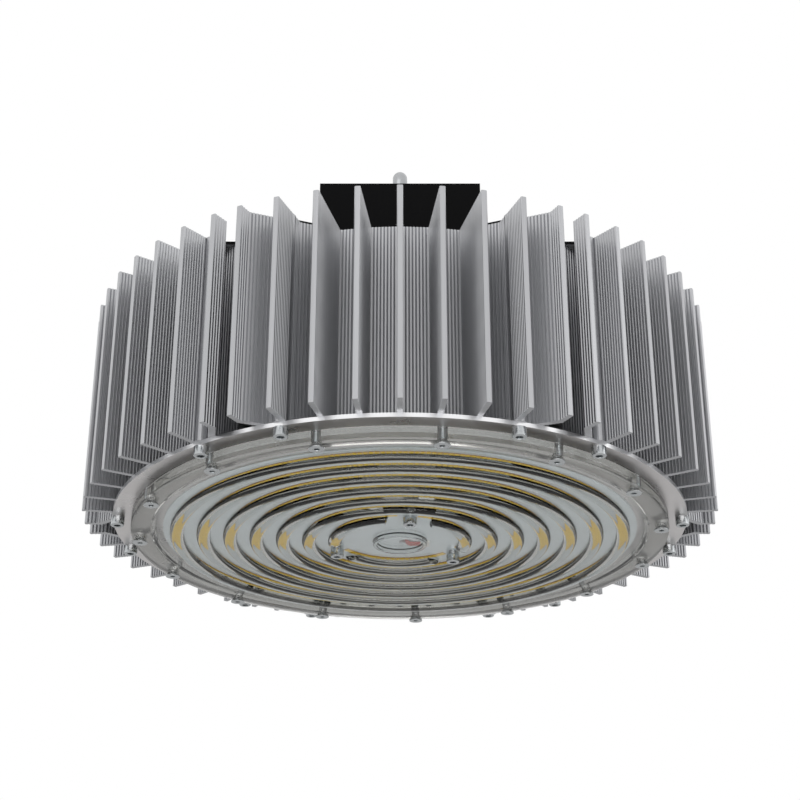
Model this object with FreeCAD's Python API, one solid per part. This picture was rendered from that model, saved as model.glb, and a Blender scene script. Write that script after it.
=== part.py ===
"""High bay light: a ring of six finned heat-sink extrusions over a round base plate that carries
seven rings of light-emitting packages behind a clear ring lens, with a driver box and a lifting eye
on top.

Millimetres, +Z up. The origin is the centre of the lifting eye, on the lamp's axis. The model is
built with Z = 0 on the bottom ends of the fins, and each piece is moved down to the eye on export.
In the drawing of one extrusion, x runs along the ring and y runs outwards from the lamp's axis.
"""
import FreeCAD
import Part

import os
from math import asin, atan2, cos, degrees, hypot, radians, sin, sqrt

# ---- driving dimensions: the ring of extrusions ----
segment_count = 6
fins_per_segment = 9
fin_pitch_deg = 6.84
fin_tip_radius = 200.0
fin_height = 131.0
fin_thickness = 3.4
wall_thickness = 4.0
hub_radius = 154.6
hub_half_angle = 13.3
wing_end_radius = 193.4
arm_radius = 165.0
arm_end_angle = 26.4
rib_pitch = 3.9
fin_rib_pitch = 7.6
rib_depth = 0.8
port_wall = 2.1
hub_port_radius = 147.6

# ---- driving dimensions: base plate and light boards ----
base_radius = 181.0
base_thickness = 2.5
board_radius = 150.0
board_thickness = 1.6
wire_hole_radius = 6.0
ring_count = 7
ring_first_radius = 41.4
ring_pitch = 16.6
package_width = 3.0
package_height = 0.7
package_sides = 24

# ---- driving dimensions: lens ----
lens_radius = 169.6
lens_depth = 6.9
lens_rim_width = 12.0
lens_web = 2.6
lens_step = 0.6
bulge_half_width = 4.4
bulge_top_half_width = 2.2
bulge_height = 3.0
collar_radius = 17.0
collar_wall = 2.4
collar_height = 2.7
lens_chamfer = 0.4
lens_bead_width = 4.6
tab_width = 28.0
tab_reach = 5.4

# ---- driving dimensions: fasteners ----
screw_radius = 2.5
thread_clearance = 0.3
hole_clearance = 0.3
cap_head_radius = 4.25
cap_head_height = 5.0
button_head_radius = 4.75
button_head_height = 2.2
flared_head_radius = 4.7
flared_head_neck = 3.2
flared_head_height = 2.6
flared_head_edge = 0.8
joint_screw_radius = 177.8
joint_screw_angle = 8.65
joint_screw_length = 16.0
joint_head_height = 5.5
rim_screw_count = 15
rim_screw_radius = 164.6
rim_screw_phase = 8.0
centre_screw_count = 3
centre_screw_radius = 43.8
screw_tip_gap = 0.3

# ---- driving dimensions: top plate and driver box ----
plate_thickness = 2.0
plate_notch_radius = 154.3
plate_inset = 1.3
plate_corner_radius = 171.6
plate_screw_length = 14.0
box_width = 102.4
box_length = 180.0
box_height = 68.6
box_sheet = 1.5
box_foot = 14.0
box_screw_spacing = 72.0
box_screw_length = 6.0
driver_side_gap = 16.0
driver_end_gap = 14.0
driver_top_gap = 15.0
driver_corner_radius = 4.0

# ---- driving dimensions: leads and gland ----
wire_hole_x = 4.0
wire_hole_y = 9.5
wire_hole_radius = 5.0
lead_radius = 0.9
lead_spacing = 3.0
lead_bend = 3.0
lead_run = 6.0
connector_length = 6.0
connector_width = 8.0
grommet_hole_radius = 6.0
grommet_rim = 2.5
grommet_lip = 1.2
driver_recess = 2.2
driver_recess_gap = 1.0
gland_thread_radius = 10.0
gland_bore_radius = 5.5
gland_across_flats = 24.0
gland_hex_length = 6.0
gland_cap_length = 14.0
gland_cap_radius = 11.0
gland_shoulder_length = 10.0
gland_mouth_radius = 8.0
gland_tail_length = 9.0
gland_nut_length = 5.0
gland_rise = 34.0

# ---- driving dimensions: lifting eye ----
eye_ring_radius = 17.5
eye_bar_radius = 5.0
eye_bore_radius = 13.0
eye_rise = 40.0
eye_shank_radius = 5.0
eye_shank_length = 36.0
eye_nut_across_flats = 17.0
eye_nut_height = 8.0
eye_washer_radius = 15.0
eye_washer_thickness = 2.0

# ---- sizes that follow ----
full_turn = 360.0
segment_angle = full_turn / segment_count
outer_fin = fins_per_segment // 2
base_bottom = -base_thickness
board_bottom = base_bottom - board_thickness
package_bottom = board_bottom - package_height
rim_bottom = base_bottom - lens_depth
land_bottom = rim_bottom + lens_step
web_top = land_bottom + lens_web
rim_inner_radius = lens_radius - lens_rim_width
plate_top = fin_height + plate_thickness
box_top = plate_top + box_height
eye_z = box_top + eye_rise
thread_radius = screw_radius - thread_clearance
free_hole = screw_radius + hole_clearance
driver_width = box_width - 2 * (box_sheet + driver_side_gap)
driver_length = box_length - 2 * (box_sheet + driver_end_gap)
shank_bottom = eye_z - eye_ring_radius - eye_shank_length
driver_height = shank_bottom - driver_top_gap - plate_top


def vec(x, y, z=0.0):
    return FreeCAD.Vector(x, y, z)


def polar(radius, angle_deg):
    """A point of the drawing at this radius, angle_deg round from the y axis towards +x."""
    angle = radians(angle_deg)
    return (radius * sin(angle), radius * cos(angle))


def prism(points, bottom, height):
    """Extrude a closed outline of (x, y) points."""
    loop = [vec(x, y, bottom) for x, y in points]
    face = Part.Face(Part.makePolygon(loop + loop[:1]))
    return face.extrude(vec(0, 0, height))


def revolve(profile):
    """Turn a closed outline of (radius, z) points about the lamp's axis."""
    loop = [vec(r, 0, z) for r, z in profile]
    face = Part.Face(Part.makePolygon(loop + loop[:1]))
    return face.revolve(vec(0, 0, 0), vec(0, 0, 1), 360)


def cylinder(radius, bottom, height, x=0.0, y=0.0):
    return Part.makeCylinder(radius, height, vec(x, y, bottom))


def hexagon(across_flats, bottom, height, x=0.0, y=0.0):
    corner = across_flats / 2 / cos(radians(30))
    points = [(x + corner * cos(radians(60 * k)), y + corner * sin(radians(60 * k))) for k in range(6)]
    return prism(points, bottom, height)


# ---- heat-sink extrusion ----
def wing_line(depth):
    """The wing's straight line, depth behind its front face: a point on it and its direction."""
    start = polar(hub_radius, hub_half_angle)
    end = polar(wing_end_radius, outer_fin * fin_pitch_deg)
    length = hypot(end[0] - start[0], end[1] - start[1])
    along = ((end[0] - start[0]) / length, (end[1] - start[1]) / length)
    point = (start[0] + depth * along[1], start[1] - depth * along[0])
    return point, along


def wing_at_radius(depth, radius):
    """Where the wing's line, depth behind its front face, crosses a circle about the axis."""
    point, along = wing_line(depth)
    middle = point[0] * along[0] + point[1] * along[1]
    rest = point[0] ** 2 + point[1] ** 2 - radius ** 2
    step = -middle + sqrt(middle ** 2 - rest)
    return (point[0] + step * along[0], point[1] + step * along[1])


def wing_at_ray(depth, angle_deg, offset):
    """Where the wing's line crosses a fin's side, which lies offset from the ray at angle_deg."""
    point, along = wing_line(depth)
    ray = (sin(radians(angle_deg)), cos(radians(angle_deg)))
    side = (ray[1], -ray[0])
    gap = offset - (point[0] * side[0] + point[1] * side[1])
    step = gap / (along[0] * side[0] + along[1] * side[1])
    return (point[0] + step * along[0], point[1] + step * along[1])


def ribbed(start, end, pitch):
    """Zigzag points between two corners: upright ribs, their valleys cut rib_depth into the metal."""
    length = hypot(end[0] - start[0], end[1] - start[1])
    count = max(1, round(length / pitch))
    along = ((end[0] - start[0]) / length, (end[1] - start[1]) / length)
    cut = (rib_depth * along[1], -rib_depth * along[0])
    points = []
    for index in range(count):
        middle = (index + 0.5) * length / count
        points.append((start[0] + middle * along[0] + cut[0], start[1] + middle * along[1] + cut[1]))
        if index < count - 1:
            peak = (index + 1) * length / count
            points.append((start[0] + peak * along[0], start[1] + peak * along[1]))
    return points


def fin_corner(number, offset, radius):
    """A point on a fin's side at this radius; offset is across the fin from its middle."""
    angle = number * fin_pitch_deg
    return polar(radius, angle + degrees(asin(offset / radius)))


def fin_root(number, offset):
    """Where a fin's side meets the hub's arc or the wing's front face."""
    mirror = -1 if number < 0 else 1
    angle = abs(number) * fin_pitch_deg
    root = fin_corner(abs(number), mirror * offset, hub_radius)
    if degrees(atan2(root[0], root[1])) > hub_half_angle:
        root = wing_at_ray(0.0, angle, mirror * offset)
    return (mirror * root[0], root[1])


def front_outline():
    """The extrusion's outward side from one end fin to the other: fins and ribbed channel floors."""
    half = fin_thickness / 2
    points = []
    for number in range(-outer_fin, outer_fin + 1):
        left_tip = fin_corner(number, -half, fin_tip_radius)
        right_tip = fin_corner(number, half, fin_tip_radius)
        if number > -outer_fin:
            root = fin_root(number, -half)
            points += ribbed(points[-1], root, rib_pitch) + [root]
            points += ribbed(root, left_tip, fin_rib_pitch)
        points += [left_tip, right_tip]
        if number < outer_fin:
            root = fin_root(number, half)
            points += ribbed(right_tip, root, fin_rib_pitch) + [root]
    return points


def arm_outline():
    """The inward side's right half: wing back, the curved arm towards the joint, and the hub."""
    half = fin_thickness / 2
    notch = wing_at_ray(wall_thickness, outer_fin * fin_pitch_deg, half)
    arm_start = wing_at_radius(wall_thickness, arm_radius)
    arm_inner = arm_radius - wall_thickness
    outer_end = polar(arm_radius, arm_end_angle)
    inner_end = polar(arm_inner, arm_end_angle)
    hub_inner = hub_radius - wall_thickness
    points = [notch, arm_start]
    points += ribbed(arm_start, outer_end, rib_pitch)
    points += [outer_end, inner_end, wing_at_radius(wall_thickness, arm_inner)]
    points.append(wing_at_radius(wall_thickness, hub_inner))
    points += [polar(hub_inner, 2 * fin_pitch_deg / 3 * step) for step in (2, 1)]
    return points


def mirrored(points):
    return [(-x, y) for x, y in reversed(points)]


def extrusion():
    """One heat-sink segment, with the screw channels that run its whole height."""
    back = arm_outline()
    body = prism(front_outline() + back + mirrored(back), 0, fin_height)
    wing_angle = segment_angle / 2 - joint_screw_angle
    ports = [polar(joint_screw_radius, wing_angle), polar(joint_screw_radius, -wing_angle)]
    ports.append(polar(hub_port_radius, 0))
    for x, y in ports:
        body = body.fuse(cylinder(screw_radius + port_wall, 0, fin_height, x, y))
    for x, y in ports:
        body = body.cut(cylinder(screw_radius, 0, fin_height, x, y))
    return body.removeSplitter()


def place_segment(body, index):
    """The first segment faces -Y; the others follow round the axis."""
    copy = body.copy()
    copy.rotate(vec(0, 0, 0), vec(0, 0, 1), 180 + index * segment_angle)
    return copy


# ---- fasteners ----
def joint_screw_angles():
    """Directions of the screws beside each joint between two extrusions."""
    angles = []
    for index in range(segment_count):
        joint = (index + 0.5) * segment_angle
        angles += [joint - joint_screw_angle, joint + joint_screw_angle]
    return angles


def around(radius, angle_deg):
    """A point at this radius, angle_deg round from the lamp's front towards +X."""
    angle = radians(angle_deg)
    return (radius * sin(angle), -radius * cos(angle))


def evenly_around(radius, count, first_deg):
    return [around(radius, first_deg + k * full_turn / count) for k in range(count)]


def rim_places():
    return evenly_around(rim_screw_radius, rim_screw_count, rim_screw_phase)


def centre_places():
    return evenly_around(centre_screw_radius, centre_screw_count, rim_screw_phase)


def joint_screw_places():
    return [around(joint_screw_radius, angle) for angle in joint_screw_angles()]


def plate_places():
    return evenly_around(hub_port_radius, segment_count, 0.0)


def box_places():
    """Screws through the driver box's two turned-out feet."""
    y = box_length / 2 + box_foot / 2
    return [(sx * box_screw_spacing / 2, sy * y) for sx in (-1, 1) for sy in (-1, 1)]


def screw_set(places, seat, length, head, upward):
    """Separate screws; head is (radius, height). The shank goes away from the head's seat plane."""
    radius, height = head
    screws = []
    for x, y in places:
        cap = cylinder(radius, seat - height if upward else seat, height, x, y)
        shank = cylinder(thread_radius, seat if upward else seat - length, length, x, y)
        screws.append(cap.fuse(shank))
    return Part.makeCompound(screws)


def flared_screws(places, seat, length):
    """Screws under a seat plane whose heads widen downwards from the seat to a flat end."""
    slope = flared_head_height - flared_head_edge
    end = seat - flared_head_height
    screws = []
    for x, y in places:
        flare = Part.makeCone(flared_head_radius, flared_head_neck, slope, vec(x, y, seat - slope))
        edge = cylinder(flared_head_radius, end, flared_head_edge, x, y)
        screws.append(edge.fuse(flare).fuse(cylinder(thread_radius, seat, length, x, y)))
    return Part.makeCompound(screws)


def drilled(body, places, radius, bottom, height):
    """Cut one round hole at each place."""
    return body.cut(Part.makeCompound([cylinder(radius, bottom, height, x, y) for x, y in places]))


# ---- base plate, board and rings of packages ----
def base_plate():
    body = cylinder(base_radius, base_bottom, base_thickness)
    body = drilled(body, joint_screw_places(), free_hole, base_bottom, base_thickness)
    body = drilled(body, rim_places() + centre_places(), screw_radius, base_bottom, base_thickness)
    return drilled(body, [(wire_hole_x, wire_hole_y)], wire_hole_radius, base_bottom, base_thickness)


def led_board():
    body = cylinder(board_radius, board_bottom, board_thickness)
    body = drilled(body, centre_places(), free_hole, board_bottom, board_thickness)
    return drilled(body, [(wire_hole_x, wire_hole_y)], wire_hole_radius, board_bottom, board_thickness)


def package_ring(index):
    """A ring of light-emitting packages, end to end, as one many-sided band."""
    radius = ring_first_radius + index * ring_pitch
    outer = evenly_around(radius + package_width / 2, package_sides, 0.0)
    inner = evenly_around(radius - package_width / 2, package_sides, 0.0)
    band = prism(outer, package_bottom, package_height).cut(prism(inner, package_bottom, package_height))
    if index == 0:
        for x, y in centre_places():
            band = band.cut(cylinder(cap_head_radius + package_width, package_bottom, package_height, x, y))
    return band


# ---- lens ----
def lens_profile():
    """Half section of the moulding, from the axis out along the top and back along the underside."""
    outer = lens_radius
    profile = [(0, web_top), (rim_inner_radius, web_top), (rim_inner_radius, base_bottom)]
    profile += [(outer, base_bottom), (outer, rim_bottom + lens_chamfer), (outer - lens_chamfer, rim_bottom)]
    profile += [(rim_inner_radius, rim_bottom), (rim_inner_radius - lens_bead_width, land_bottom)]
    for index in reversed(range(ring_count)):
        radius = ring_first_radius + index * ring_pitch
        profile.append((radius + bulge_half_width, land_bottom))
        profile.append((radius + bulge_top_half_width, land_bottom - bulge_height))
        profile.append((radius - bulge_top_half_width, land_bottom - bulge_height))
        profile.append((radius - bulge_half_width, land_bottom))
    profile += [(collar_radius, land_bottom), (collar_radius, land_bottom - collar_height)]
    profile += [(collar_radius - collar_wall, land_bottom - collar_height)]
    profile += [(collar_radius - collar_wall, land_bottom), (0, land_bottom)]
    return profile


def lens_cover():
    """The clear ring lens, flat at the three inner screws and drilled for every lens screw."""
    body = revolve(lens_profile())
    for x, y in centre_places():
        flat = Part.makeBox(2 * tab_reach, tab_width, bulge_height)
        flat.translate(vec(ring_first_radius - tab_reach, -tab_width / 2, land_bottom - bulge_height))
        flat.rotate(vec(0, 0, 0), vec(0, 0, 1), degrees(atan2(y, x)))
        body = body.cut(flat)
    return drilled(body, rim_places() + centre_places(), free_hole, rim_bottom, lens_depth)


# ---- top plate and driver box ----
def plate_edge():
    """One segment's share of the plate's edge: (radius, angle from that segment's middle)."""
    front_radius = hub_radius - plate_inset
    bend = wing_at_radius(plate_inset, front_radius)
    corner = wing_at_radius(plate_inset, plate_corner_radius)
    bend_angle = degrees(atan2(bend[0], bend[1]))
    corner_angle = degrees(atan2(corner[0], corner[1]))
    edge = [(plate_corner_radius, -corner_angle), (front_radius, -bend_angle)]
    edge += [(front_radius, step * fin_pitch_deg) for step in (-1, 0, 1)]
    edge += [(front_radius, bend_angle), (plate_corner_radius, corner_angle)]
    return edge + [(plate_notch_radius, segment_angle / 2)]


def top_plate():
    """Sheet that closes the ring of extrusions, a little inside each hub and its two wings."""
    outline = []
    for index in range(segment_count):
        centre = index * segment_angle
        outline += [around(radius, centre + angle) for radius, angle in plate_edge()]
    body = prism(outline, fin_height, plate_thickness)
    body = drilled(body, plate_places(), free_hole, fin_height, plate_thickness)
    body = drilled(body, box_places(), screw_radius, fin_height, plate_thickness)
    return drilled(body, [(wire_hole_x, wire_hole_y)], grommet_hole_radius, fin_height, plate_thickness)


def block(width, length, height):
    """A box standing on the top plate, its middle on the lamp's axis."""
    return Part.makeBox(width, length, height, vec(-width / 2, -length / 2, plate_top))


def driver_cover():
    """Sheet box, open underneath, with a turned-out foot at each end."""
    body = block(box_width, box_length, box_height)
    body = body.fuse(block(box_width, box_length + 2 * box_foot, box_sheet)).removeSplitter()
    body = body.cut(block(box_width - 2 * box_sheet, box_length - 2 * box_sheet, box_height - box_sheet))
    body = drilled(body, box_places(), free_hole, plate_top, box_sheet)
    body = drilled(body, [(0, 0)], eye_shank_radius + hole_clearance, box_top - box_sheet, box_sheet)
    wide = gland_thread_radius + hole_clearance
    return body.cut(lying([(0, -box_sheet), (wide, -box_sheet), (wide, 0), (0, 0)]))


def led_driver():
    """The driver's potted case, standing on the top plate over the lead grommet's plain hole."""
    body = block(driver_width, driver_length, driver_height)
    edges = [edge for edge in body.Edges if edge.BoundBox.ZLength > driver_height / 2]
    body = body.makeFillet(driver_corner_radius, edges)
    x, y = wire_hole_x, wire_hole_y
    recess_radius = grommet_hole_radius + grommet_rim + driver_recess_gap
    return body.cut(cylinder(recess_radius, plate_top, driver_recess, x, y))


# ---- leads, connector and grommet ----
def bent_lead(x, y):
    """One lead: down through the wire hole, then bent along the board to the connector."""
    run_z = board_bottom - lead_radius
    bend_top = run_z + lead_bend
    swing = lead_bend * (1 - sqrt(0.5))
    top = vec(x, y, plate_top + driver_recess)
    start = vec(x, y, bend_top)
    middle = vec(x + swing, y, run_z + swing)
    end = vec(x + lead_bend, y, run_z)
    tail = vec(x + lead_bend + lead_run, y, run_z)
    bend = Part.Arc(start, middle, end).toShape()
    path = Part.Wire([Part.makeLine(top, start), bend, Part.makeLine(end, tail)])
    ring = Part.Wire([Part.makeCircle(lead_radius, top, vec(0, 0, 1))])
    return path.makePipeShell([ring], True, True)


def lamp_leads():
    leads = [bent_lead(wire_hole_x, wire_hole_y + side * lead_spacing / 2) for side in (-1, 1)]
    return Part.makeCompound(leads)


def board_connector():
    """Terminal block on the board, with its face against the ends of the leads."""
    x = wire_hole_x + lead_bend + lead_run
    corner = vec(x, wire_hole_y - connector_width / 2, board_bottom - 2 * lead_radius)
    return Part.makeBox(connector_length, connector_width, 2 * lead_radius, corner)


def lead_grommet():
    """Rubber bush in the top plate's hole, with a lip above and below the sheet."""
    x, y = wire_hole_x, wire_hole_y
    lip_radius = grommet_hole_radius + grommet_rim
    body = cylinder(grommet_hole_radius, fin_height, plate_thickness, x, y)
    body = body.fuse(cylinder(lip_radius, fin_height - grommet_lip, grommet_lip, x, y))
    body = body.fuse(cylinder(lip_radius, plate_top, grommet_lip, x, y))
    for side in (-1, 1):
        lead_y = y + side * lead_spacing / 2
        length = plate_thickness + 2 * grommet_lip
        body = body.cut(cylinder(lead_radius, fin_height - grommet_lip, length, x, lead_y))
    return body


# ---- cable gland in the driver box's back wall ----
def lying(profile):
    """Turn a (radius, distance) outline about the gland's axis, which points along +Y."""
    body = revolve(profile)
    body.rotate(vec(0, 0, 0), vec(1, 0, 0), -90)
    body.translate(vec(0, box_length / 2, plate_top + gland_rise))
    return body


def lying_hexagon(across_flats, start, length):
    body = hexagon(across_flats, start, length)
    body.rotate(vec(0, 0, 0), vec(1, 0, 0), -90)
    body.translate(vec(0, box_length / 2, plate_top + gland_rise))
    return body


def cable_gland():
    """Gland body: threaded tail inside the wall, hexagon against it and a domed sealing cap."""
    bore = gland_bore_radius
    tip = gland_hex_length + gland_cap_length
    neck = gland_hex_length
    profile = [(bore, -gland_tail_length), (gland_thread_radius, -gland_tail_length)]
    profile += [(gland_thread_radius, neck), (gland_cap_radius, neck)]
    profile += [(gland_cap_radius, neck + gland_shoulder_length), (gland_mouth_radius, tip), (bore, tip)]
    bored = lying([(0, 0), (bore, 0), (bore, neck), (0, neck)])
    collar = lying_hexagon(gland_across_flats, 0, neck).cut(bored)
    return lying(profile).fuse(collar).removeSplitter()


def gland_nut():
    start = -box_sheet - gland_nut_length
    ring = lying_hexagon(gland_across_flats, start, gland_nut_length)
    end = start + gland_nut_length
    hole = lying([(0, start), (gland_thread_radius, start), (gland_thread_radius, end), (0, end)])
    return ring.cut(hole)


# ---- lifting eye ----
def eye_bolt():
    """Ring with its hole along X, a short bored land inside it, and the threaded shank below."""
    ring = Part.makeTorus(eye_ring_radius, eye_bar_radius, vec(0, 0, eye_z), vec(1, 0, 0))
    shank = cylinder(eye_shank_radius, shank_bottom, eye_shank_length)
    half = 2 * eye_bar_radius
    bore = Part.makeCylinder(eye_bore_radius, 2 * half, vec(-half, 0, eye_z), vec(1, 0, 0))
    return ring.fuse(shank).cut(bore).removeSplitter()


def eye_washers():
    washers = []
    for bottom in (box_top, box_top - box_sheet - eye_washer_thickness):
        body = cylinder(eye_washer_radius, bottom, eye_washer_thickness)
        hole = cylinder(eye_shank_radius, bottom, eye_washer_thickness)
        washers.append(body.cut(hole))
    return Part.makeCompound(washers)


def eye_nuts():
    nuts = []
    upper = box_top + eye_washer_thickness
    lower = box_top - box_sheet - eye_washer_thickness - eye_nut_height
    for bottom in (upper, lower):
        body = hexagon(eye_nut_across_flats, bottom, eye_nut_height)
        hole = cylinder(eye_shank_radius, bottom, eye_nut_height)
        nuts.append(body.cut(hole))
    return Part.makeCompound(nuts)


# ---- every piece, by node name ----
def all_pieces():
    pieces = {}
    segment = extrusion()
    for index in range(segment_count):
        pieces["heatsink_segment_%d" % (index + 1)] = place_segment(segment, index)
    pieces["base_plate"] = base_plate()
    pieces["led_board"] = led_board()
    for index in range(ring_count):
        pieces["led_ring_%d" % (index + 1)] = package_ring(index)
    pieces["lens_cover"] = lens_cover()
    cap = (cap_head_radius, cap_head_height)
    button = (button_head_radius, button_head_height)
    rim_length = -rim_bottom - screw_tip_gap
    centre_length = -land_bottom - screw_tip_gap
    joint_head = (cap_head_radius, joint_head_height)
    joint_places = joint_screw_places()
    pieces["segment_screws"] = screw_set(joint_places, base_bottom, joint_screw_length, joint_head, True)
    pieces["lens_rim_screws"] = flared_screws(rim_places(), rim_bottom, rim_length)
    pieces["lens_centre_screws"] = screw_set(centre_places(), land_bottom, centre_length, cap, True)
    pieces["top_plate"] = top_plate()
    pieces["top_plate_screws"] = screw_set(plate_places(), plate_top, plate_screw_length, button, False)
    pieces["driver_cover"] = driver_cover()
    foot_top = plate_top + box_sheet
    pieces["cover_screws"] = screw_set(box_places(), foot_top, box_screw_length, button, False)
    pieces["led_driver"] = led_driver()
    pieces["lamp_leads"] = lamp_leads()
    pieces["board_connector"] = board_connector()
    pieces["lead_grommet"] = lead_grommet()
    pieces["cable_gland"] = cable_gland()
    pieces["gland_nut"] = gland_nut()
    pieces["eye_bolt"] = eye_bolt()
    pieces["eye_washers"] = eye_washers()
    pieces["eye_nuts"] = eye_nuts()
    return pieces


os.makedirs("parts", exist_ok=True)
for name, shape in all_pieces().items():
    shape = shape.copy()
    shape.translate(vec(0, 0, -eye_z))
    shape.exportStep("parts/%s.step" % name)
    box = shape.BoundBox
    print(name, len(shape.Solids), shape.isValid(), round(box.ZMin, 2), round(box.ZMax, 2))
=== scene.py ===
import bpy
from math import asin, atan2, copysign, cos, degrees, hypot, pi, radians, sin, sqrt
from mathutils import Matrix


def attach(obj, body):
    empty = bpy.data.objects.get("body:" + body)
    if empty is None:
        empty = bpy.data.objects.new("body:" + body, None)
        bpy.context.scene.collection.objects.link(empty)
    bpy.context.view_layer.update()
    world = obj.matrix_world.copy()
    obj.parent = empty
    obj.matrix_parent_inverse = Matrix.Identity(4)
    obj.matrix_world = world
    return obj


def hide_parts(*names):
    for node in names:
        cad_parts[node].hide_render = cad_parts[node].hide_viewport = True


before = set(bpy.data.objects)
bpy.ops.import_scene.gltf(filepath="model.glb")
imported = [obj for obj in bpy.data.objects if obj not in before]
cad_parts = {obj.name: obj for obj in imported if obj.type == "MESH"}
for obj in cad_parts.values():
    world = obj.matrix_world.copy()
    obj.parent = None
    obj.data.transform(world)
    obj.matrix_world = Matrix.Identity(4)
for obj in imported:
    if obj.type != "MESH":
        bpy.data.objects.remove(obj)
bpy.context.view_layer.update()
mm = 0.001
eyeZ = 241.6                     # the origin is the eye's centre, this many mm above the fins' bottom ends


# mesh helpers
def newPiece(name, verts, faces, materials, nodes=None, slotName=None, smoothDeg=None, faceMaterials=None):
    # verts are in mm with z = 0 at the fins' bottom ends; a piece with no nodes is a helper and is used up
    data = bpy.data.meshes.new(name)
    data.from_pydata([(x * mm, y * mm, (z - eyeZ) * mm) for x, y, z in verts], [], faces)
    for material in materials:
        data.materials.append(material)
    if faceMaterials:
        data.polygons.foreach_set("material_index", faceMaterials)
    data.validate()
    piece = bpy.data.objects.new(name, data)
    bpy.context.scene.collection.objects.link(piece)
    if smoothDeg:
        shadeByAngle(piece, smoothDeg)
    if nodes:
        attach(piece, "root")
        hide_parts(*nodes)
    return piece


def shadeByAngle(piece, limitDeg):
    data = piece.data
    data.shade_smooth()
    data.set_sharp_from_angle(angle=radians(limitDeg))


def skin(loops, ringed=False):
    # loops of equal length joined by quads; ringed joins the last loop to the first, else both ends are closed
    verts = [point for loop in loops for point in loop]
    count = len(loops[0])
    faces = []
    pairs = len(loops) if ringed else len(loops) - 1
    for a in range(pairs):
        b = (a + 1) % len(loops)
        for k in range(count):
            n = (k + 1) % count
            faces.append((a * count + k, a * count + n, b * count + n, b * count + k))
    if not ringed:
        faces.append(tuple(reversed(range(count))))
        faces.append(tuple((len(loops) - 1) * count + k for k in range(count)))
    return verts, faces


def circleLoop(radius, z, count, x=0.0, y=0.0, turn=0.0):
    step = 2 * pi / count
    return [(x + radius * cos(turn + k * step), y + radius * sin(turn + k * step), z) for k in range(count)]


def hexLoop(acrossFlats, z, count, x=0.0, y=0.0, turn=0.0):
    # count points on a hexagon, so that it joins a round loop of as many points
    points = []
    for k in range(count):
        angle = 2 * pi * k / count
        inSide = (angle + pi / 6) % (pi / 3) - pi / 6
        radius = acrossFlats / 2 / cos(inSide)
        points.append((x + radius * cos(turn + angle), y + radius * sin(turn + angle), z))
    return points


def joined(parts):
    verts, faces = [], []
    for partVerts, partFaces in parts:
        base = len(verts)
        verts += partVerts
        faces += [tuple(base + k for k in face) for face in partFaces]
    return verts, faces


def around(radius, angleDeg):
    # a point at this radius, angleDeg round from the lamp's front towards +X
    return radius * sin(radians(angleDeg)), -radius * cos(radians(angleDeg))


def applyBoolean(piece, cutter, operation):
    modifier = piece.modifiers.new("cut", "BOOLEAN")
    modifier.operation = operation
    modifier.object = cutter
    modifier.solver = "MANIFOLD"
    depsgraph = bpy.context.evaluated_depsgraph_get()
    data = bpy.data.meshes.new_from_object(piece.evaluated_get(depsgraph))
    piece.modifiers.clear()
    old = piece.data
    piece.data = data
    bpy.data.meshes.remove(old)
    bpy.data.objects.remove(cutter)


# material helpers
def newMaterial(name, colour, metallic=0.0, roughness=0.5, **extra):
    material = bpy.data.materials.new(name)
    material.use_nodes = True
    shader = material.node_tree.nodes["Principled BSDF"]
    shader.inputs["Base Color"].default_value = (*colour, 1)
    shader.inputs["Metallic"].default_value = metallic
    shader.inputs["Roughness"].default_value = roughness
    for key, value in extra.items():
        shader.inputs[key.replace("_", " ")].default_value = value
    return material, shader


def addNode(material, kind, **settings):
    node = material.node_tree.nodes.new(kind)
    for key, value in settings.items():
        setattr(node, key, value)
    return node


def noiseOf(material, scale, stretch=(1, 1, 1), detail=3.0):
    # noise in object space, in waves a metre, longer along an axis where stretch is small
    links = material.node_tree.links
    place = addNode(material, "ShaderNodeTexCoord")
    mapping = addNode(material, "ShaderNodeMapping")
    mapping.inputs["Scale"].default_value = [scale * k for k in stretch]
    noise = addNode(material, "ShaderNodeTexNoise")
    noise.inputs["Scale"].default_value = 1.0
    noise.inputs["Detail"].default_value = detail
    links.new(place.outputs["Object"], mapping.inputs["Vector"])
    links.new(mapping.outputs["Vector"], noise.inputs["Vector"])
    return noise.outputs["Fac"]


def rampOf(material, source, stops):
    ramp = addNode(material, "ShaderNodeValToRGB")
    elements = ramp.color_ramp.elements
    while len(elements) < len(stops):
        elements.new(0.5)
    for element, (position, colour) in zip(elements, stops):
        element.position = position
        element.color = (*colour, 1) if isinstance(colour, tuple) else (colour, colour, colour, 1)
    material.node_tree.links.new(source, ramp.inputs["Fac"])
    return ramp.outputs["Color"]


def bumpOf(material, shader, source, strength, distance):
    bump = addNode(material, "ShaderNodeBump")
    bump.inputs["Strength"].default_value = strength
    bump.inputs["Distance"].default_value = distance
    material.node_tree.links.new(source, bump.inputs["Height"])
    material.node_tree.links.new(bump.outputs["Normal"], shader.inputs["Normal"])


def wire(material, source, socket):
    material.node_tree.links.new(source, socket)


def heightOfNormal(material):
    # 1 on faces that look up, -1 on faces that look down
    shape = addNode(material, "ShaderNodeNewGeometry")
    split = addNode(material, "ShaderNodeSeparateXYZ")
    wire(material, shape.outputs["Normal"], split.inputs["Vector"])
    return split.outputs["Z"]


def uprightness(material):
    # 1 on upright edges, 0 on level faces
    level = addNode(material, "ShaderNodeMath", operation="ABSOLUTE")
    upright = addNode(material, "ShaderNodeMath", operation="LESS_THAN")
    upright.inputs[1].default_value = 0.5
    wire(material, heightOfNormal(material), level.inputs[0])
    wire(material, level.outputs[0], upright.inputs[0])
    return upright.outputs[0]


def colourOf(material, shader, source, stops):
    wire(material, rampOf(material, source, stops), shader.inputs["Base Color"])


def roughnessOf(material, shader, source, low, high):
    wire(material, rampOf(material, source, [(0.3, low), (0.7, high)]), shader.inputs["Roughness"])


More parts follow.
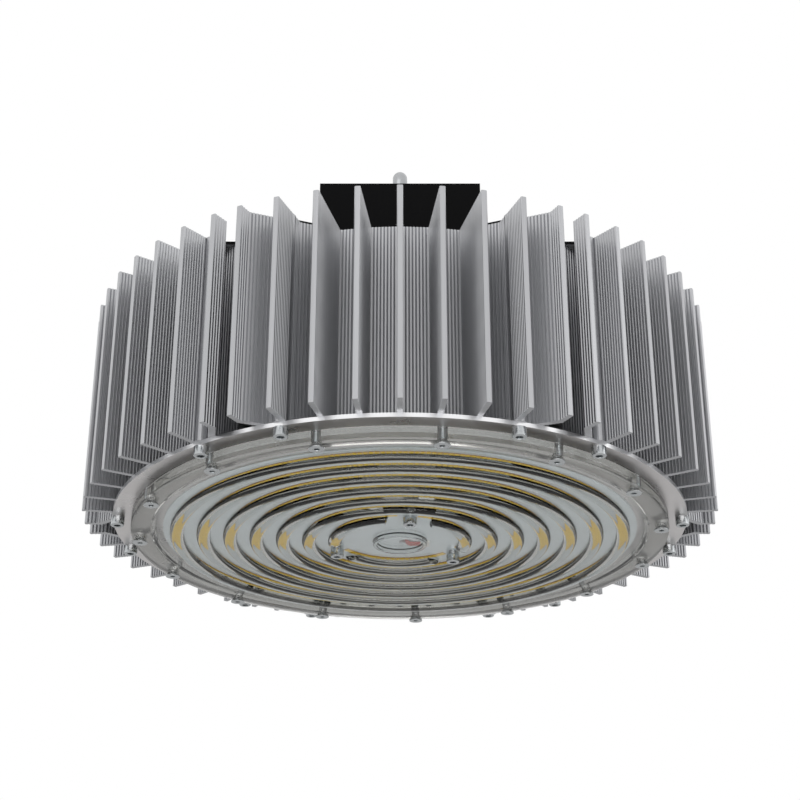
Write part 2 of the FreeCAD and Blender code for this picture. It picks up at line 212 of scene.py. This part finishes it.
def whiteRays(owner):
    # 1 for what the camera sees, straight on, mirrored or through glass, and 0 for the light on the object
    rays = addNode(owner, "ShaderNodeLightPath")
    direct = addNode(owner, "ShaderNodeMath", operation="MAXIMUM")
    whole = addNode(owner, "ShaderNodeMath", operation="MAXIMUM")
    wire(owner, rays.outputs["Is Camera Ray"], direct.inputs[0])
    wire(owner, rays.outputs["Is Transmission Ray"], direct.inputs[1])
    wire(owner, direct.outputs[0], whole.inputs[0])
    wire(owner, rays.outputs["Is Glossy Ray"], whole.inputs[1])
    return whole.outputs[0]


finLook = {"colour": (0.50, 0.505, 0.52), "roughness": 0.38, "spread": 0.04, "streaks": 420.0}
finMetal, shader = newMaterial("finMetal", finLook["colour"], 1.0, finLook["roughness"])
streak = noiseOf(finMetal, finLook["streaks"], (1, 1, 0.012), 4.0)       # die lines run the extrusion's length
dark = tuple(0.93 * c for c in finLook["colour"])
colourOf(finMetal, shader, streak, [(0.35, dark), (0.65, finLook["colour"])])
roughnessOf(finMetal, shader, streak, finLook["roughness"] - finLook["spread"],
            finLook["roughness"] + finLook["spread"])
bumpOf(finMetal, shader, streak, 0.04, 0.0001)

plateLook = {"colour": (0.68, 0.66, 0.655), "smooth": 0.26, "rough": 0.36,
             "edge": (0.93, 0.93, 0.94), "edgeRoughness": 0.3}
plateMetal, shader = newMaterial("plateMetal", plateLook["colour"], 1.0, plateLook["smooth"])
cloud = noiseOf(plateMetal, 60.0)
colourOf(plateMetal, shader, uprightness(plateMetal), [(0.0, plateLook["colour"]), (1.0, plateLook["edge"])])
polish = rampOf(plateMetal, cloud, [(0.3, plateLook["smooth"]), (0.7, plateLook["rough"])])
satin = addNode(plateMetal, "ShaderNodeMix", data_type="FLOAT")
satin.inputs[3].default_value = plateLook["edgeRoughness"]
wire(plateMetal, polish, satin.inputs[2])
wire(plateMetal, uprightness(plateMetal), satin.inputs[0])
wire(plateMetal, satin.outputs[0], shader.inputs["Roughness"])
bumpOf(plateMetal, shader, noiseOf(plateMetal, 45.0, detail=2.0), 0.05, 0.0006)

boardLook = {"colour": (0.61, 0.675, 0.70), "roughness": 0.35}
boardWhite, shader = newMaterial("boardWhite", boardLook["colour"], 0.0, boardLook["roughness"],
                                 Specular_IOR_Level=0.1)
mottle = noiseOf(boardWhite, 90.0)
pale = tuple(1.05 * c for c in boardLook["colour"])
colourOf(boardWhite, shader, mottle, [(0.35, boardLook["colour"]), (0.65, pale)])
bumpOf(boardWhite, shader, noiseOf(boardWhite, 1500.0), 0.1, 0.00005)

phosphorLook = {"colour": (0.93, 0.64, 0.002), "edge": (0.84, 0.50, 0.001), "roughness": 0.6}
phosphor, shader = newMaterial("phosphor", phosphorLook["colour"], 0.0, phosphorLook["roughness"],
                               Specular_IOR_Level=0.05)
grain = noiseOf(phosphor, 1400.0, detail=2.0)
colourOf(phosphor, shader, grain, [(0.3, phosphorLook["edge"]), (0.55, phosphorLook["colour"])])
bodyLook = {"colour": (0.40, 0.19, 0.02), "dark": (0.34, 0.15, 0.012), "pale": (0.46, 0.23, 0.03), "roughness": 0.4}
packageBody, shader = newMaterial("packageBody", bodyLook["colour"], 0.0, bodyLook["roughness"])
colourOf(packageBody, shader, noiseOf(packageBody, 900.0), [(0.3, bodyLook["dark"]), (0.7, bodyLook["pale"])])

lensLook = {"colour": (0.985, 0.99, 0.99), "ior": 1.49, "roughness": 0.0, "gleam": 0.12,
            "deep": (0.40, 0.40, 0.36), "haze": 58.0}
clearLens, shader = newMaterial("clearLens", lensLook["colour"], 0.0, lensLook["roughness"], IOR=lensLook["ior"],
                                Transmission_Weight=1.0, Specular_IOR_Level=lensLook["gleam"])
bumpOf(clearLens, shader, noiseOf(clearLens, 70.0, detail=1.0), 0.05, 0.0008)
haze = addNode(clearLens, "ShaderNodeVolumeAbsorption")
haze.inputs["Color"].default_value = (*lensLook["deep"], 1)
haze.inputs["Density"].default_value = lensLook["haze"]
wire(clearLens, haze.outputs["Volume"], clearLens.node_tree.nodes["Material Output"].inputs["Volume"])

steelLook = {"colour": (0.50, 0.52, 0.53), "smooth": 0.16, "rough": 0.32}
screwSteel, shader = newMaterial("screwSteel", steelLook["colour"], 1.0, steelLook["smooth"])
roughnessOf(screwSteel, shader, noiseOf(screwSteel, 700.0), steelLook["smooth"], steelLook["rough"])

blackLook = {"colour": (0.003, 0.003, 0.0034), "roughness": 0.6, "spread": 0.06, "gleam": 0.06, "grain": 1300.0}
blackPaint, shader = newMaterial("blackPaint", blackLook["colour"], 0.0, blackLook["roughness"],
                                 Specular_IOR_Level=blackLook["gleam"])
bumpOf(blackPaint, shader, noiseOf(blackPaint, blackLook["grain"], detail=2.0), 0.15, 0.0001)
roughnessOf(blackPaint, shader, noiseOf(blackPaint, 500.0), blackLook["roughness"] - blackLook["spread"],
            blackLook["roughness"] + blackLook["spread"])

# the top plate is painted above and on its edge, and left bare on the side that sits on the fins
bareLook = {"colour": (0.66, 0.665, 0.68)}
platePaint, shader = newMaterial("platePaint", blackLook["colour"], 0.0, blackLook["roughness"],
                                 Specular_IOR_Level=blackLook["gleam"])
below = addNode(platePaint, "ShaderNodeMath", operation="LESS_THAN")
below.inputs[1].default_value = -0.5
wire(platePaint, heightOfNormal(platePaint), below.inputs[0])
colourOf(platePaint, shader, below.outputs[0], [(0.0, blackLook["colour"]), (1.0, bareLook["colour"])])
wire(platePaint, rampOf(platePaint, below.outputs[0], [(0.0, 0.0), (1.0, 1.0)]), shader.inputs["Metallic"])
bumpOf(platePaint, shader, noiseOf(platePaint, blackLook["grain"], detail=2.0), 0.12, 0.0001)

eyeLook = {"colour": (0.42, 0.43, 0.44), "smooth": 0.28, "rough": 0.5}
eyeSteel, shader = newMaterial("eyeSteel", eyeLook["colour"], 1.0, eyeLook["smooth"])
bumpOf(eyeSteel, shader, noiseOf(eyeSteel, 350.0, detail=4.0), 0.25, 0.0003)
roughnessOf(eyeSteel, shader, noiseOf(eyeSteel, 260.0), eyeLook["smooth"], eyeLook["rough"])

# looks with no more than a fine grain: colour, metallic share, roughness, grain in waves a metre, its strength
plainLooks = {"leadRed": ((0.40, 0.03, 0.02), 0.0, 0.4, 1200.0, 0.1),
              "connectorWhite": ((0.72, 0.71, 0.66), 0.0, 0.45, 900.0, 0.1),
              "blackRubber": ((0.015, 0.015, 0.015), 0.0, 0.65, 1500.0, 0.2),
              "blackNylon": ((0.02, 0.02, 0.021), 0.0, 0.42, 1000.0, 0.12),
              "driverGrey": ((0.26, 0.27, 0.28), 0.6, 0.5, 1200.0, 0.1)}
plain = {}
for name, (colour, metallic, roughness, waves, strength) in plainLooks.items():
    plain[name], shader = newMaterial(name, colour, metallic, roughness)
    bumpOf(plain[name], shader, noiseOf(plain[name], waves), strength, 0.0001)

matt = {"colour": (0.93, 0.96, 0.97), "roughness": 0.55}
mattBore, shader = newMaterial("mattBore", matt["colour"], 0.0, matt["roughness"], IOR=lensLook["ior"],
                               Transmission_Weight=1.0)
bumpOf(mattBore, shader, noiseOf(mattBore, 900.0), 0.2, 0.0001)
print("materials done")

# heat sink: six copies of one ribbed extrusion
sink = {"segments": 6, "fins": 9, "finPitch": 6.84, "tipRadius": 199.99, "height": 131.0, "finThick": 3.4,
        "wall": 4.0, "hubRadius": 154.6, "hubHalf": 13.3, "wingEnd": 193.4, "armRadius": 165.0, "armEnd": 26.4,
        "ribPitch": 1.94, "ribDepth": 0.62, "crestShare": 0.5, "tipBevel": 0.5,
        "portHole": 2.5, "portWall": 2.1, "portSides": 28,
        "wingPortRadius": 177.8, "wingPortFromJoint": 8.65, "hubPortRadius": 147.6}
lastFin = sink["fins"] // 2


def polar(radius, angleDeg):
    return radius * sin(radians(angleDeg)), radius * cos(radians(angleDeg))


def wingLine(depth):
    start = polar(sink["hubRadius"], sink["hubHalf"])
    end = polar(sink["wingEnd"], lastFin * sink["finPitch"])
    length = hypot(end[0] - start[0], end[1] - start[1])
    along = ((end[0] - start[0]) / length, (end[1] - start[1]) / length)
    return (start[0] + depth * along[1], start[1] - depth * along[0]), along


def wingAtRadius(depth, radius):
    point, along = wingLine(depth)
    middle = point[0] * along[0] + point[1] * along[1]
    step = -middle + sqrt(middle ** 2 - point[0] ** 2 - point[1] ** 2 + radius ** 2)
    return point[0] + step * along[0], point[1] + step * along[1]


def wingAtRay(depth, angleDeg, offset):
    point, along = wingLine(depth)
    side = (cos(radians(angleDeg)), -sin(radians(angleDeg)))
    step = (offset - point[0] * side[0] - point[1] * side[1]) / (along[0] * side[0] + along[1] * side[1])
    return point[0] + step * along[0], point[1] + step * along[1]


def ribbed(start, end, margin=0.6):
    # flat crests with narrow V grooves between them
    length = hypot(end[0] - start[0], end[1] - start[1])
    along = ((end[0] - start[0]) / length, (end[1] - start[1]) / length)
    inward = (along[1] * sink["ribDepth"], -along[0] * sink["ribDepth"])
    count = max(1, int((length - 2 * margin) / sink["ribPitch"]))
    pitch = (length - 2 * margin) / count
    half = pitch * (1 - sink["crestShare"]) / 2
    points = []
    for k in range(count):
        at = margin + (k + 0.5) * pitch
        for shift, cut in ((-half, 0), (0, 1), (half, 0)):
            points.append((start[0] + (at + shift) * along[0] + cut * inward[0],
                           start[1] + (at + shift) * along[1] + cut * inward[1]))
    return points


def finPoint(number, offset, radius):
    return polar(radius, number * sink["finPitch"] + degrees(asin(offset / radius)))


def finRoot(number, offset):
    mirror = -1 if number < 0 else 1
    root = finPoint(abs(number), mirror * offset, sink["hubRadius"])
    if degrees(atan2(root[0], root[1])) > sink["hubHalf"]:
        root = wingAtRay(0.0, abs(number) * sink["finPitch"], mirror * offset)
    return mirror * root[0], root[1]


def frontOutline():
    half = sink["finThick"] / 2
    bevel = sink["tipBevel"]
    points = []
    for number in range(-lastFin, lastFin + 1):
        leftLow = finPoint(number, -half, sink["tipRadius"] - bevel)
        rightLow = finPoint(number, half, sink["tipRadius"] - bevel)
        if number > -lastFin:
            root = finRoot(number, -half)
            points += ribbed(points[-1], root) + [root] + ribbed(root, leftLow)
        points += [leftLow, finPoint(number, bevel - half, sink["tipRadius"])]
        points += [finPoint(number, half - bevel, sink["tipRadius"]), rightLow]
        if number < lastFin:
            root = finRoot(number, half)
            points += ribbed(rightLow, root) + [root]
    return points


def backOutline():
    half = sink["finThick"] / 2
    hubInner = sink["hubRadius"] - sink["wall"]
    armInner = sink["armRadius"] - sink["wall"]
    armStart = wingAtRadius(sink["wall"], sink["armRadius"])
    startDeg = degrees(atan2(armStart[0], armStart[1]))
    notch = wingAtRay(sink["wall"], lastFin * sink["finPitch"], half)
    steps = 3
    sweep = sink["armEnd"] - startDeg
    arm = [polar(sink["armRadius"], startDeg + k * sweep / steps) for k in range(steps + 1)]
    points = ribbed(finPoint(lastFin, half, sink["tipRadius"] - sink["tipBevel"]), notch) + [notch]
    points += ribbed(notch, arm[0]) + [arm[0]]
    for a, b in zip(arm, arm[1:]):
        points += ribbed(a, b, 0.0) + [b]
    points += [polar(armInner, sink["armEnd"] - k * 2.0) for k in range(4)]
    points += [wingAtRadius(sink["wall"], armInner), wingAtRadius(sink["wall"], hubInner)]
    points += [polar(hubInner, deg) for deg in (9.0, 6.0, 3.0)]
    return points


def portRing(radius, height, places, grow):
    sides = sink["portSides"]
    return joined([skin([circleLoop(radius, -grow, sides, x, y), circleLoop(radius, height + grow, sides, x, y)])
                   for x, y in places])


back = backOutline()
outline = frontOutline() + back + [(-x, y) for x, y in reversed(back)]
outline.reverse()                                                  # anticlockwise seen from above
verts, faces = skin([[(x, y, 0.0) for x, y in outline], [(x, y, sink["height"]) for x, y in outline]])
segment = newPiece("segmentBase", verts, faces, [finMetal])
wingDeg = 180 / sink["segments"] - sink["wingPortFromJoint"]
portPlaces = [polar(sink["wingPortRadius"], wingDeg), polar(sink["wingPortRadius"], -wingDeg)]
portPlaces += [(0.0, sink["hubPortRadius"])]
bossRadius = sink["portHole"] + sink["portWall"]
bosses = newPiece("bosses", *portRing(bossRadius, sink["height"], portPlaces, 0.0), [finMetal])
applyBoolean(segment, bosses, "UNION")
holes = newPiece("holes", *portRing(sink["portHole"], sink["height"], portPlaces, 1.0), [finMetal])
applyBoolean(segment, holes, "DIFFERENCE")
print("one segment has", len(segment.data.polygons), "faces from an outline of", len(outline))
for index in range(sink["segments"]):
    turn = pi + 2 * pi * index / sink["segments"]
    piece = bpy.data.objects.new("heatSinkSegment%d" % (index + 1), segment.data.copy())
    for vertex in piece.data.vertices:
        x, y = vertex.co.x, vertex.co.y
        vertex.co.x = x * cos(turn) - y * sin(turn)
        vertex.co.y = x * sin(turn) + y * cos(turn)
    bpy.context.scene.collection.objects.link(piece)
    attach(piece, "root")
    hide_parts("heatsink_segment_%d" % (index + 1))
bpy.data.objects.remove(segment)
print("heat sink done")

# light packages, ring by ring on the board
lamps = {"rings": 7, "firstRadius": 41.4, "ringPitch": 16.6, "boardBottom": -4.1, "pitch": 3.2,
         "width": 3.5, "length": 2.85, "height": 0.7, "frame": 0.07, "crown": 0.12,
         "screwCount": 3, "screwRadius": 43.8, "screwFrom": 8.0, "screwGap": 7.0}
centreScrews = [around(lamps["screwRadius"], lamps["screwFrom"] + 360.0 * k / lamps["screwCount"])
                for k in range(lamps["screwCount"])]


def package(radius, angle):
    # a flat moulded body with a slightly raised yellow top
    def loop(widthHalf, lengthHalf, z):
        points = []
        for alongSign, outSign in ((-1, -1), (1, -1), (1, 1), (-1, 1)):
            u = alongSign * lengthHalf
            r = radius + outSign * widthHalf
            points.append((u * cos(angle) + r * sin(angle), u * sin(angle) - r * cos(angle), z))
        return points
    wide, long, frameWidth = lamps["width"] / 2, lamps["length"] / 2, lamps["frame"]
    top = lamps["boardBottom"]
    low = top - lamps["height"]
    shoulder = low + lamps["crown"]
    loops = [loop(wide, long, top), loop(wide, long, shoulder)]
    loops += [loop(wide - frameWidth, long - frameWidth, shoulder)]
    loops += [loop(wide - 2 * frameWidth, long - 2 * frameWidth, low)]
    verts, faces = skin(loops)
    return verts, faces, [0] * 8 + [1] * 4 + [0, 1]                 # 0 is the body, 1 the yellow top


for ring in range(lamps["rings"]):
    radius = lamps["firstRadius"] + ring * lamps["ringPitch"]
    count = round(2 * pi * radius / lamps["pitch"])
    verts, faces, kinds = [], [], []
    for k in range(count):
        angle = 2 * pi * k / count
        x, y = radius * sin(angle), -radius * cos(angle)
        if ring == 0 and min(hypot(x - sx, y - sy) for sx, sy in centreScrews) < lamps["screwGap"]:
            continue
        partVerts, partFaces, partKinds = package(radius, angle)
        base = len(verts)
        verts += partVerts
        faces += [tuple(base + n for n in face) for face in partFaces]
        kinds += partKinds
    newPiece("ledRing%d" % (ring + 1), verts, faces, [packageBody, phosphor], ["led_ring_%d" % (ring + 1)],
             "package_yellow", faceMaterials=kinds)
print("light packages done")

# lens: one clear moulding with a ring bulge under each ring of packages
lens = {"outer": 169.6, "rimInner": 157.6, "rimTop": -2.55, "rimBottom": -9.4, "land": -8.8, "webTop": -6.2,
        "bulgeHalf": 4.4, "bulgePower": 2.8, "bulgeHeight": 3.0, "bulgeSteps": 14, "bead": 4.6, "axisGap": 0.4,
        "collar": 17.0, "collarWall": 2.4, "collarHigh": 2.7, "collarEdge": 0.3, "collarFillet": 0.4,
        "webFillet": 0.8, "rimEdge": 0.7, "rimStep": 2.0, "tabHalf": 14.0, "turns": 360,
        "screwCount": 15, "screwRadius": 164.6, "screwFrom": 8.0, "bore": 2.8, "boreSides": 24}


def lensProfile():
    # from the axis out along the hidden side, round the rim and back along the seen side
    # the third value is the height that a flat at a centre screw brings the point to
    inner, outer, low = lens["rimInner"], lens["outer"], lens["rimBottom"]
    land, gap = lens["land"], lens["axisGap"]
    edge, step, fillet = lens["rimEdge"], lens["rimStep"], lens["webFillet"]
    rim = [(gap, lens["webTop"]), (inner - fillet, lens["webTop"]), (inner, lens["webTop"] + fillet)]
    rim += [(inner, lens["rimTop"]), (outer, lens["rimTop"])]
    rim += [(outer, low + edge), (outer - 0.2, low + 0.2), (outer - edge, low), (inner + 0.4, low)]
    rim += [(inner, low + 0.1), (inner - step, low + 0.1), (inner - 2.4, low + 0.3), (inner - lens["bead"], land)]
    points = [(r, z, None) for r, z in rim]
    for ring in reversed(range(lamps["rings"])):
        centre = lamps["firstRadius"] + ring * lamps["ringPitch"]
        flatZ = land if ring == 0 else None
        for k in range(lens["bulgeSteps"] + 1):
            t = pi * k / lens["bulgeSteps"]
            across = copysign(abs(cos(t)) ** (2 / lens["bulgePower"]), cos(t))
            drop = sin(t) ** (2 / lens["bulgePower"])
            points.append((centre + lens["bulgeHalf"] * across, land - lens["bulgeHeight"] * drop, flatZ))
    foot = land - lens["collarHigh"]
    r = lens["collar"]
    bore = r - lens["collarWall"]
    edge, fillet = lens["collarEdge"], lens["collarFillet"]
    collar = [(r + fillet, land), (r, land - fillet), (r, foot + edge), (r - edge, foot)]
    collar += [(bore + edge, foot), (bore, foot + edge), (bore, land - fillet), (bore - fillet, land), (gap, land)]
    return points + [(r, z, None) for r, z in collar]


def onFlat(x, y):
    return any(abs(x * sy - y * sx) / hypot(sx, sy) < lens["tabHalf"] and x * sx + y * sy > 0
               for sx, sy in centreScrews)


def lensLoops():
    loops = []
    for k in range(lens["turns"]):
        angle = 2 * pi * k / lens["turns"]
        loop = []
        for r, z, flatZ in lensProfile():
            x, y = around(r, degrees(angle))
            loop.append((x, y, z if flatZ is None or not onFlat(x, y) else flatZ))
        loops.append(loop)
    return loops


verts, faces = skin(lensLoops(), ringed=True)
count = len(lensProfile())
first = [k * count for k in range(lens["turns"])]                   # small end faces close the moulding at its axis
last = [k * count + count - 1 for k in range(lens["turns"])]
faces = [face for face in faces if face[0] % count != count - 1]
faces += [tuple(first), tuple(reversed(last))]
lensPiece = newPiece("lensCover", verts, faces, [clearLens, mattBore], ["lens_cover"], "clear_lens")
rimScrews = [around(lens["screwRadius"], lens["screwFrom"] + 360.0 * k / lens["screwCount"])
             for k in range(lens["screwCount"])]
bores = joined([skin([circleLoop(lens["bore"], z, lens["boreSides"], x, y) for z in (-14.0, 0.0)])
                for x, y in rimScrews + centreScrews])
applyBoolean(lensPiece, newPiece("lensBores", *bores, [mattBore]), "DIFFERENCE")
shadeByAngle(lensPiece, 40)
lensPiece.visible_shadow = False                                   # clear plastic passes the light on to the board
print("lens done, faces", len(lensPiece.data.polygons))

# screws
screws = {"shank": 2.2, "thread": 0.2, "threadPitch": 0.8, "round": 28, "knurl": 0.035,
          "capRadius": 4.25, "capHigh": 5.0, "jointHigh": 5.5, "capSocket": 4.0, "capDepth": 2.6,
          "buttonRadius": 4.75, "buttonHigh": 2.2, "buttonSocket": 3.0, "buttonDepth": 1.4,
          "flaredRadius": 4.7, "flaredNeck": 3.2, "flaredHigh": 2.6, "flaredEdge": 0.8,
          "flaredSocket": 3.0, "flaredDepth": 1.8}


def screw(x, y, seat, length, kind, down=True, turn=0.3):
    # the head stands out from the seat plane; down turns it to the ground
    n = screws["round"]
    way = -1 if down else 1

    def circle(radius, out):
        return circleLoop(radius, seat + way * out, n, x, y, turn)

    def knurled(radius, out):
        # shallow upright grooves round a cap head
        points = []
        for k, (px, py, pz) in enumerate(circle(radius, out)):
            share = 1 - screws["knurl"] * (k % 2)
            points.append((x + (px - x) * share, y + (py - y) * share, pz))
        return points

    def hexagon(acrossFlats, out):
        return hexLoop(acrossFlats, seat + way * out, n, x, y, turn)
    if kind in ("cap", "joint"):
        r, h, socket, depth = screws["capRadius"], screws[kind + "High"], screws["capSocket"], screws["capDepth"]
        head = [circle(r - 0.15, 0), knurled(r, 0.15), knurled(r, h - 0.7)]
        head += [circle(r - 0.15, h - 0.3), circle(r - 0.5, h)]
    elif kind == "flared":
        r, h = screws["flaredRadius"], screws["flaredHigh"]
        socket, depth = screws["flaredSocket"], screws["flaredDepth"]
        edge = h - screws["flaredEdge"]
        head = [circle(screws["flaredNeck"], 0), circle(r - 0.1, edge - 0.05), circle(r, edge + 0.1)]
        head += [circle(r, h - 0.15), circle(r - 0.15, h)]
    else:
        r, h = screws["buttonRadius"], screws["buttonHigh"]
        socket, depth = screws["buttonSocket"], screws["buttonDepth"]
        head = [circle(r - 0.1, 0), circle(r, 0.2), circle(r * 0.96, 0.7)]
        head += [circle(r * 0.84, h * 0.68), circle(r * 0.64, h * 0.93), circle(r * 0.5, h)]
    head += [hexagon(socket + 0.3, h), hexagon(socket, h - 0.2), hexagon(socket, h - depth)]
    head += [circle(0.3, h - depth - 0.4)]
    shank = [circle(screws["shank"] - 0.4, -length), circle(screws["shank"], -length + 0.5)]
    halfPitch = screws["threadPitch"] / 2
    for k in range(int((length - 1.0) / halfPitch)):
        crest = screws["thread"] if k % 2 else 0.0
        shank.append(circle(screws["shank"] + crest, -length + 0.6 + k * screws["threadPitch"] / 2))
    shank.append(circle(screws["shank"], 0))
    verts, faces = skin(shank + head)
    if not down:
        faces = [tuple(reversed(face)) for face in faces]
    return verts, [tuple(reversed(face)) for face in faces]


def screwGroup(name, node, places, seat, length, kind, down=True):
    parts = [screw(x, y, seat, length, kind, down, 0.4 + 0.9 * k) for k, (x, y) in enumerate(places)]
    newPiece(name, *joined(parts), [screwSteel], [node], "screw_steel", smoothDeg=35)


# screw groups: seat height and length under the head
groups = {"joint": (-2.5, 16.0), "rim": (-9.4, 9.1), "centre": (-8.8, 8.5),
          "topPlate": (133.0, 14.0), "box": (134.5, 6.0)}
boxHalf = {"across": 36.0, "along": 97.0}
jointScrews = [around(sink["wingPortRadius"], 30 + 60 * k + side * sink["wingPortFromJoint"])
               for k in range(sink["segments"]) for side in (-1, 1)]
hubScrews = [around(sink["hubPortRadius"], 60 * k) for k in range(sink["segments"])]
boxScrews = [(sx * boxHalf["across"], sy * boxHalf["along"]) for sx in (-1, 1) for sy in (-1, 1)]
screwGroup("jointScrews", "segment_screws", jointScrews, *groups["joint"], "joint")
screwGroup("rimScrews", "lens_rim_screws", rimScrews, *groups["rim"], "flared")
screwGroup("centreScrews", "lens_centre_screws", centreScrews, *groups["centre"], "cap")
screwGroup("topPlateScrews", "top_plate_screws", hubScrews, *groups["topPlate"], "button", down=False)
screwGroup("boxScrews", "cover_screws", boxScrews, *groups["box"], "button", down=False)
print("screws done")

# pieces kept from the frame, with their materials
kept = {"base_plate": plateMetal, "led_board": boardWhite, "top_plate": platePaint, "driver_cover": blackPaint,
        "led_driver": plain["driverGrey"], "lamp_leads": plain["leadRed"],
        "board_connector": plain["connectorWhite"], "lead_grommet": plain["blackRubber"],
        "cable_gland": plain["blackNylon"], "gland_nut": plain["blackNylon"],
        "eye_bolt": eyeSteel, "eye_washers": screwSteel, "eye_nuts": screwSteel}
for node, material in kept.items():
    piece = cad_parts[node]
    piece.data.materials.clear()
    piece.data.materials.append(material)
print("kept pieces done")

# floor, light and camera
studio = {"floorZ": -1.30, "floorSize": 30, "floorColour": (0.40, 0.40, 0.40), "floorWhite": 0.3,
          "fill": 0.85, "aimZ": -0.17}
# area lights: place and size in metres, power in watts
lights = {"keyLight": ((-0.5, -1.1, 1.5), (1.2, 1.2), 3.5),
          "sideLight": ((1.9, -0.6, 0.3), (0.9, 1.4), 2.5),
          "underLight": ((0.0, -1.1, -1.1), (1.4, 0.8), 8.0)}
view = {"lens": 70.95, "sensor": 36, "back": 0.9502, "below": 0.3454, "tiltDeg": 114.633}


def light(name, place, target, size, power):
    data = bpy.data.lights.new(name, "AREA")
    data.shape = "RECTANGLE"
    data.size, data.size_y = size
    data.energy = power
    lamp = bpy.data.objects.new(name, data)
    bpy.context.scene.collection.objects.link(lamp)
    lamp.location = place
    aim = [b - a for a, b in zip(place, target)]
    yaw = atan2(aim[0], -aim[1])
    lamp.rotation_euler = (atan2(hypot(aim[0], aim[1]), -aim[2]), 0, yaw + pi)


bpy.ops.mesh.primitive_plane_add(size=studio["floorSize"], location=(0, 0, studio["floorZ"]))
floor = bpy.context.object
floor.name = "floor"
floorPaint, shader = newMaterial("floorPaint", studio["floorColour"], 0.0, 0.7)
floor.data.materials.append(floorPaint)
glow = addNode(floorPaint, "ShaderNodeEmission")
share = addNode(floorPaint, "ShaderNodeMath", operation="MULTIPLY")
share.inputs[1].default_value = studio["floorWhite"]               # the rest keeps the lamp's shadow
blend = addNode(floorPaint, "ShaderNodeMixShader")
wire(floorPaint, whiteRays(floorPaint), share.inputs[0])
wire(floorPaint, share.outputs[0], blend.inputs[0])
wire(floorPaint, shader.outputs[0], blend.inputs[1])
wire(floorPaint, glow.outputs[0], blend.inputs[2])
wire(floorPaint, blend.outputs[0], floorPaint.node_tree.nodes["Material Output"].inputs["Surface"])

world = bpy.data.worlds.new("studio")
bpy.context.scene.world = world
world.use_nodes = True
mix = addNode(world, "ShaderNodeMix", data_type="RGBA")
mix.inputs[6].default_value = (studio["fill"], studio["fill"], studio["fill"], 1)
mix.inputs[7].default_value = (1, 1, 1, 1)
wire(world, whiteRays(world), mix.inputs[0])
wire(world, mix.outputs[2], world.node_tree.nodes["Background"].inputs["Color"])

for name, (place, size, power) in lights.items():
    light(name, place, (0, 0, studio["aimZ"]), size, power)

cameraData = bpy.data.cameras.new("camera")
cameraData.lens = view["lens"]
cameraData.sensor_width = view["sensor"]
camera = bpy.data.objects.new("camera", cameraData)
camera.location = (0, -view["back"], -view["below"] - eyeZ * mm)
camera.rotation_euler = (radians(view["tiltDeg"]), 0, 0)
bpy.context.scene.collection.objects.link(camera)
bpy.context.scene.camera = camera
bpy.context.scene.view_settings.view_transform = "Standard"

print("scene done")
